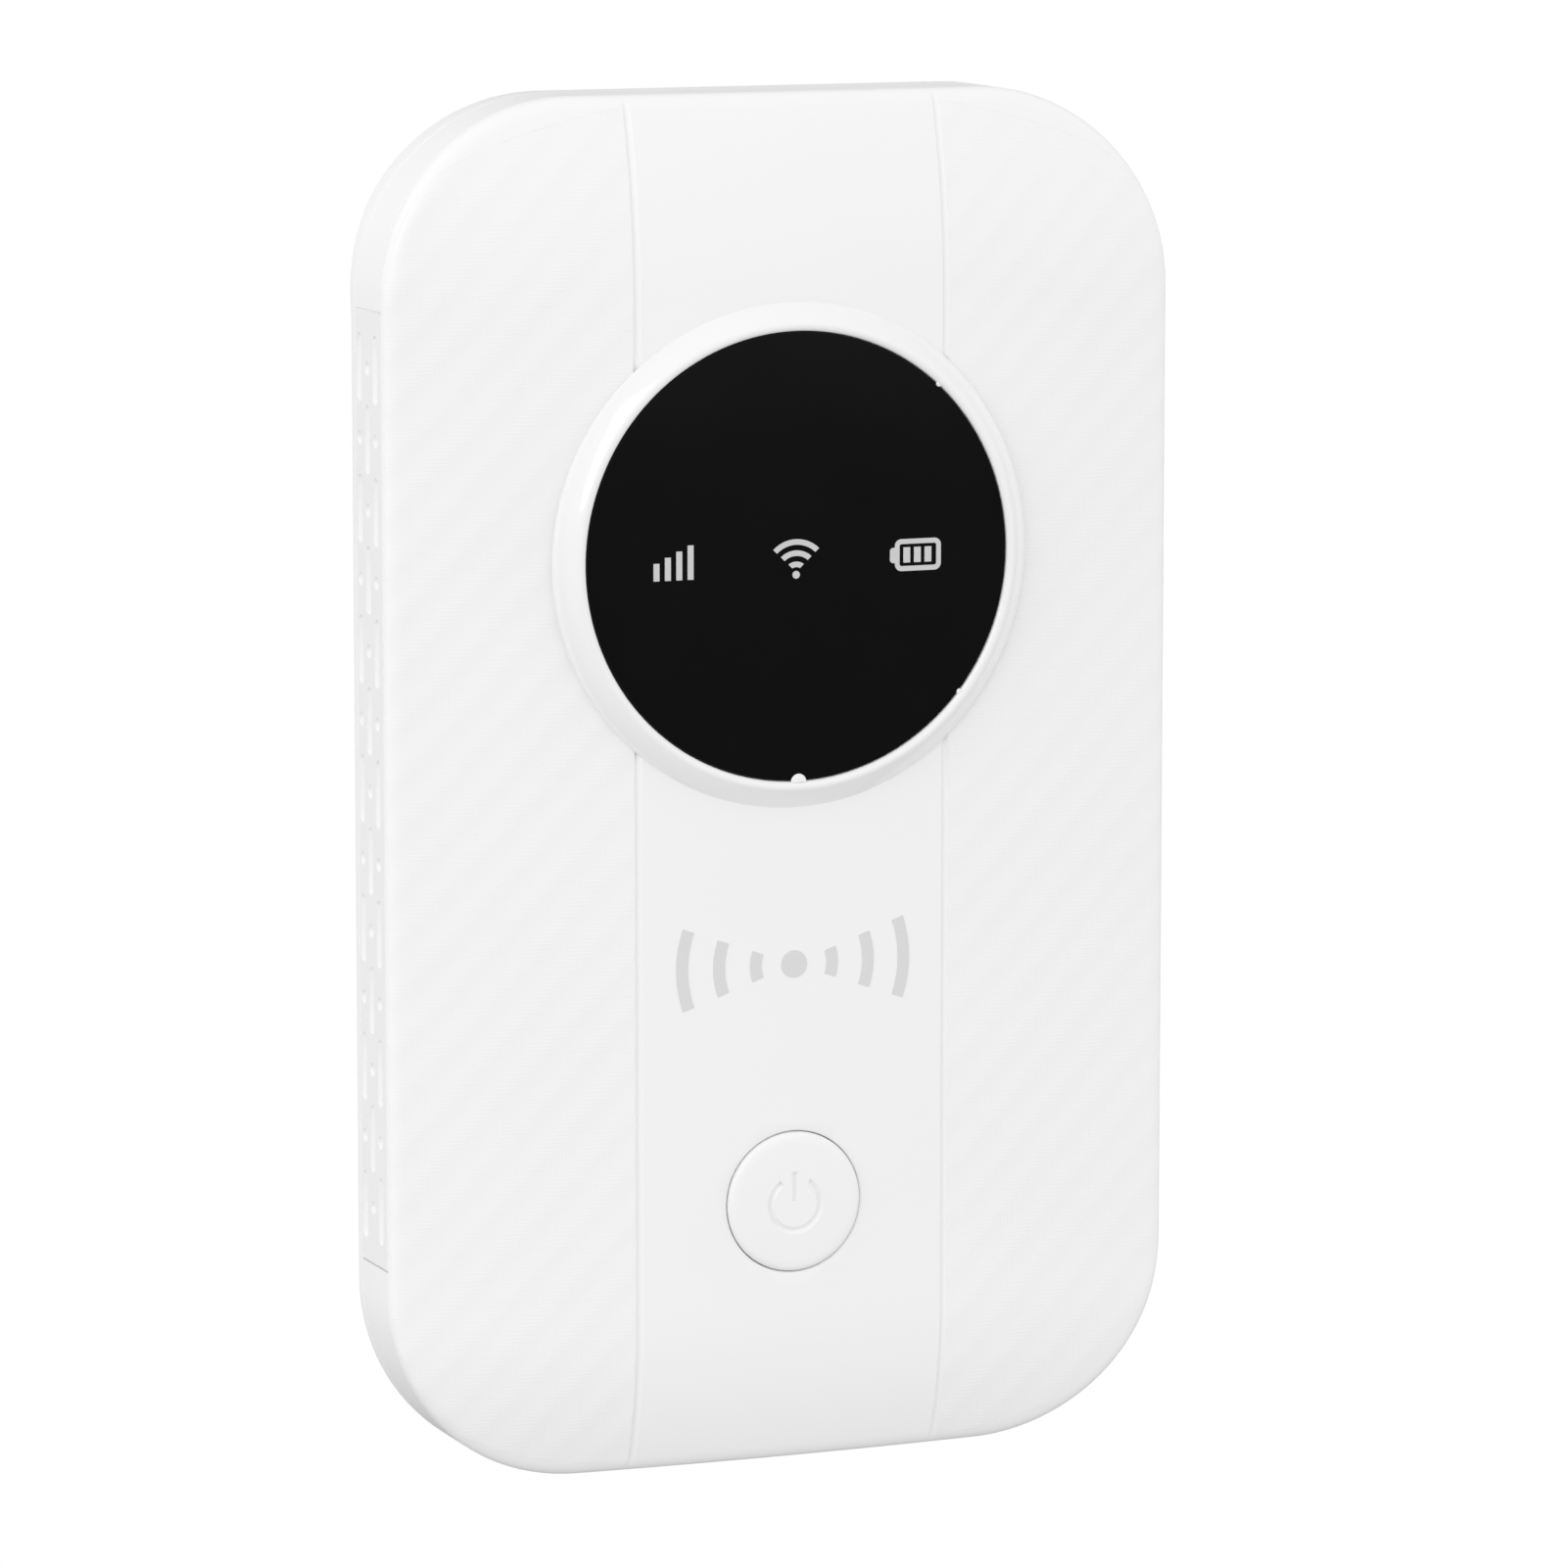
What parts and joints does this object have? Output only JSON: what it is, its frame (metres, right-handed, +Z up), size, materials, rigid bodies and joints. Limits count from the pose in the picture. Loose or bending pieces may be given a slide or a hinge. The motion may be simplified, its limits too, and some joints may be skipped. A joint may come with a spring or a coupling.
{
  "type": "mobile hotspot",
  "caption": "Pocket wireless router with a crowned front, round status display in a raised ring, power button, grooved trim and a slide-off back cover over its battery",
  "frame": {"origin": "middle of the bottom end, centre of the bounding box footprint", "axes": "Z up from the bottom end with the USB port to the top end, X across the width, the display faces -Y and the back cover +Y"},
  "size_m": [0.06, 0.014, 0.099],
  "materials": {
    "white_plastic": "satin",
    "ring_plastic": "glossy",
    "strip_plastic": "satin",
    "window_black": "glossy, smoked",
    "adhesive": "matte",
    "icon_ink": "printed",
    "mark_ink": "printed",
    "black_plastic": "moulded, matte",
    "ivory_plastic": "moulded, matte",
    "led_body": "moulded",
    "screw_steel": "plated",
    "board_laminate": "solder resist",
    "shield_tin": "tin plated",
    "chip_resin": "moulded resin",
    "ferrite": "ground",
    "pad_silicone": "soft",
    "contact_gold": "gold plated",
    "antenna_film": "etched copper",
    "label_paper": "blank paper",
    "battery_wrap": "wrapped"
  },
  "bodies": {
    "housing": {"front_shell": "white_plastic", "display_ring": "ring_plastic", "display_window": "window_black", "window_adhesive": "adhesive", "signal_icon": "icon_ink", "wifi_icon": "icon_ink", "battery_icon": "icon_ink", "front_mark": "mark_ink", "power_switch": "black_plastic", "light_baffle": "black_plastic", "status_leds": "led_body", "mid_frame": "white_plastic", "left_side_strip": "strip_plastic", "right_side_strip": "strip_plastic", "frame_screws": "screw_steel", "main_board": "board_laminate", "wifi_shield": "shield_tin", "modem_shield": "shield_tin", "modem_chip": "chip_resin", "memory_chip": "chip_resin", "power_shield": "shield_tin", "power_chip": "chip_resin", "inductors": "ferrite", "thermal_pad": "pad_silicone", "usb_shell": "shield_tin", "usb_tongue": "black_plastic", "usb_contacts": "contact_gold", "sim_base": "black_plastic", "sim_cover": "shield_tin", "sim_contacts": "contact_gold", "reset_switch": "black_plastic", "battery_block": "black_plastic", "battery_springs": "contact_gold", "main_antenna": "antenna_film", "diversity_antenna": "antenna_film", "wifi_antenna": "antenna_film", "antenna_clips": "contact_gold", "bay_label": "label_paper"},
    "power_button": {"power_button": "white_plastic", "power_plunger": "black_plastic"},
    "reset_button": {"reset_plunger": "ivory_plastic"},
    "battery": {"battery_pack": "battery_wrap", "battery_cap": "black_plastic", "battery_pads": "contact_gold"},
    "cover": {"back_cover": "white_plastic"}
  },
  "joints": [
    {"name": "power_press", "type": "slide", "parent": "housing", "child": "power_button", "axis": [0, 1, 0], "range_m": [0, 0.00025], "stiffness_N_per_m": 10000},
    {"name": "reset_press", "type": "slide", "parent": "housing", "child": "reset_button", "axis": [0, -1, 0], "range_m": [0, 0.0002], "stiffness_N_per_m": 12500},
    {"name": "cover_slide", "type": "slide", "parent": "housing", "child": "cover", "axis": [0, 1, 0], "range_m": [0, 0.03]},
    {"name": "battery_slide", "type": "slide", "parent": "housing", "child": "battery", "axis": [0, 1, 0], "range_m": [0, 0.015]}
  ],
  "couplings": [
    {"joint": "battery_slide", "follows": "cover_slide", "ratio": 0.5}
  ]
}
